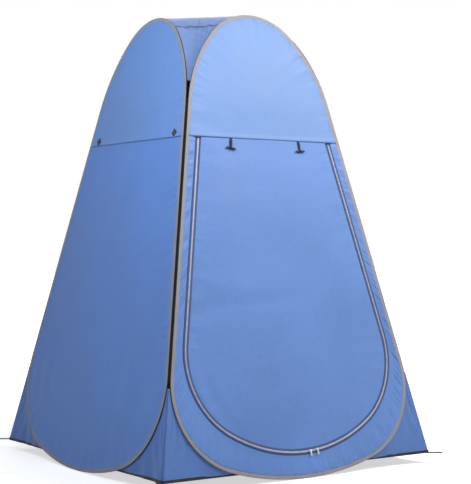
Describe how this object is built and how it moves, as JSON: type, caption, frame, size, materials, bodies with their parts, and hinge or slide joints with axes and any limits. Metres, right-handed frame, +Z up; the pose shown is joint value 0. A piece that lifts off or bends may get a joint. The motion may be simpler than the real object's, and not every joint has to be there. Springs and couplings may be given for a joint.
{
  "type": "privacy shower tent",
  "caption": "Tall pop-up privacy tent with sprung egg-shaped sides leaning in over a square base, a zipped door, roof cloth, corner skirts and peg tabs.",
  "frame": {"origin": "on the ground under the middle of the tent", "axes": "+Z up, the door faces -Y, +X to the right of the door as seen from outside"},
  "size_m": [1.4196, 1.4196, 1.9],
  "materials": {
    "spring_steel": "satin",
    "ferrule_steel": "satin",
    "sleeve_black": "matt woven tape",
    "binding_grey": "woven binding tape",
    "cloth_upper": "coated polyester taffeta",
    "cloth_lower": "coated polyester taffeta",
    "cloth_skirt": "coated polyester taffeta",
    "cloth_roof": "coated polyester taffeta",
    "hem_black": "matt woven tape",
    "webbing_black": "polypropylene webbing",
    "zip_tape": "woven zip tape with nylon coil",
    "slider_metal": "polished",
    "pull_metal": "white lacquer",
    "ribbon_navy": "grosgrain ribbon",
    "bar_plastic": "moulded"
  },
  "bodies": {
    "back": {"back_hoop_wire": "spring_steel", "back_ferrule": "ferrule_steel", "back_hoop_sleeve": "sleeve_black", "back_hoop_trim": "binding_grey", "back_upper_panel": "cloth_upper", "back_lower_panel": "cloth_lower", "back_skirts": "cloth_skirt", "back_hems": "hem_black", "back_roof": "cloth_roof", "back_corner_seams": "sleeve_black", "peg_tab_back_left": "webbing_black"},
    "left": {"left_hoop_wire": "spring_steel", "left_ferrule": "ferrule_steel", "left_hoop_sleeve": "sleeve_black", "left_hoop_trim": "binding_grey", "left_upper_panel": "cloth_upper", "left_lower_panel": "cloth_lower", "left_skirts": "cloth_skirt", "left_hems": "hem_black", "left_roof": "cloth_roof", "left_corner_seam": "sleeve_black", "peg_tab_front_left": "webbing_black", "guy_tab_front_left": "webbing_black", "guy_tab_back_left": "webbing_black"},
    "front": {"front_hoop_wire": "spring_steel", "front_ferrule": "ferrule_steel", "front_hoop_sleeve": "sleeve_black", "front_hoop_trim": "binding_grey", "front_upper_panel": "cloth_upper", "door_surround": "cloth_lower", "front_skirts": "cloth_skirt", "front_hems": "hem_black", "front_roof": "cloth_roof", "zip_surround_side": "zip_tape", "peg_tab_front_right": "webbing_black", "inside_tie_loops": "ribbon_navy"},
    "right": {"right_hoop_wire": "spring_steel", "right_ferrule": "ferrule_steel", "right_hoop_sleeve": "sleeve_black", "right_hoop_trim": "binding_grey", "right_upper_panel": "cloth_upper", "right_lower_panel": "cloth_lower", "right_skirts": "cloth_skirt", "right_hems": "hem_black", "right_roof": "cloth_roof", "peg_tab_back_right": "webbing_black", "guy_tab_back_right": "webbing_black", "guy_tab_front_right": "webbing_black"},
    "door": {"door_flap": "cloth_lower", "zip_door_side": "zip_tape"},
    "slider_left": {"zip_slider_left": "slider_metal"},
    "slider_right": {"zip_slider_right": "slider_metal"},
    "pull_left": {"zip_pull_left": "pull_metal"},
    "pull_right": {"zip_pull_right": "pull_metal"},
    "toggle_left": {"toggle_strap_left": "ribbon_navy", "toggle_bar_left": "bar_plastic"},
    "toggle_right": {"toggle_strap_right": "ribbon_navy", "toggle_bar_right": "bar_plastic"}
  },
  "joints": [
    {"name": "left_fold", "type": "hinge", "parent": "back", "child": "left", "pos_m": [-0.66759, 0.66759, 0.00704], "axis": [0.1955, -0.1955, 0.961], "range_deg": [0, 72], "deforming": ["left_roof", "back_roof"]},
    {"name": "front_fold", "type": "hinge", "parent": "left", "child": "front", "pos_m": [-0.66759, -0.66759, 0.00704], "axis": [0.1955, 0.1955, 0.961], "range_deg": [-70, 0], "deforming": ["front_roof"]},
    {"name": "right_fold", "type": "hinge", "parent": "back", "child": "right", "pos_m": [0.66759, 0.66759, 0.00704], "axis": [-0.1955, -0.1955, 0.961], "range_deg": [0, 72], "deforming": ["right_roof"]},
    {"name": "door_swing", "type": "hinge", "parent": "front", "child": "door", "pos_m": [0, -0.39528, 1.36807], "axis": [-1, 0, 0], "range_deg": [0, 100]},
    {"name": "slider_left_run", "type": "hinge", "parent": "door", "child": "slider_left", "pos_m": [0, -0.52188, 0.74582], "axis": [0, -0.9799, 0.1994], "range_deg": [-32.8, 0]},
    {"name": "slider_right_run", "type": "hinge", "parent": "door", "child": "slider_right", "pos_m": [0, -0.52188, 0.74582], "axis": [0, -0.9799, 0.1994], "range_deg": [0, 23.5]},
    {"name": "pull_left_swing", "type": "hinge", "parent": "slider_left", "child": "pull_left", "pos_m": [0.03548, -0.66011, 0.10548], "axis": [-0.9985, -0.0108, -0.053], "range_deg": [0, 150]},
    {"name": "pull_right_swing", "type": "hinge", "parent": "slider_right", "child": "pull_right", "pos_m": [0.07085, -0.65954, 0.1083], "axis": [-0.9942, -0.0215, -0.1058], "range_deg": [0, 150]},
    {"name": "toggle_left_swing", "type": "hinge", "parent": "door", "child": "toggle_left", "pos_m": [-0.172, -0.39793, 1.36555], "axis": [-1, 0, 0], "range_deg": [0, 55]},
    {"name": "toggle_right_swing", "type": "hinge", "parent": "door", "child": "toggle_right", "pos_m": [0.172, -0.39793, 1.36555], "axis": [-1, 0, 0], "range_deg": [0, 55]}
  ],
  "couplings": [
    {"joint": "front_fold", "follows": "left_fold", "ratio": -0.97},
    {"joint": "right_fold", "follows": "left_fold", "ratio": 0.99}
  ]
}
